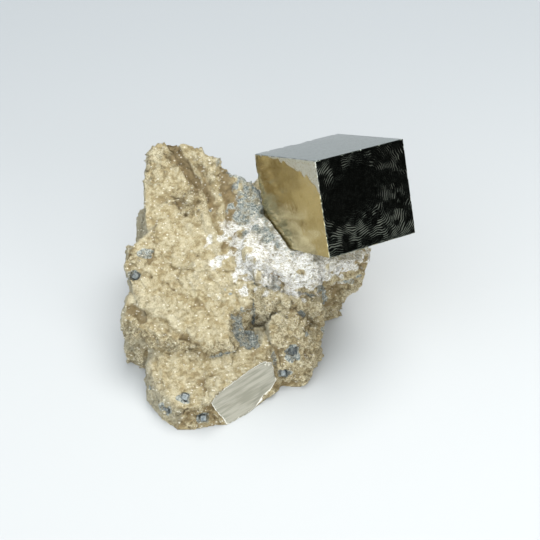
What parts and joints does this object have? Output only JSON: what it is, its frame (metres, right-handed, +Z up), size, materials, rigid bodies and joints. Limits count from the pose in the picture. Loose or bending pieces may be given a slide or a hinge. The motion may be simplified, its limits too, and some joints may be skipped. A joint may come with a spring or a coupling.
{
  "type": "mineral specimen",
  "caption": "Block-shaped brassy pyrite crystal seated by one lower corner in a broken lump of pale tan marl, for display on a shelf or desk.",
  "frame": {"origin": "middle of the footprint, on the surface that the specimen stands on", "axes": "+Z up, +X to the right seen from the front, +Y from the front to the back; the crystal is at the right"},
  "size_m": [0.0626, 0.0582, 0.0534],
  "materials": {
    "pyrite": "mirror-bright pyrite faces with fine growth lines on one side",
    "grain": "dull blue-grey pyrite grains",
    "marl": "rough broken marl, tan with pale crusts and blue-grey patches"
  },
  "bodies": {
    "root": {"pyrite_crystal": "pyrite", "pyrite_grain_1": "grain", "pyrite_grain_2": "grain", "pyrite_grain_3": "grain", "pyrite_grain_4": "grain", "pyrite_grain_5": "grain", "pyrite_grain_6": "grain", "matrix": "marl"}
  },
  "joints": []
}
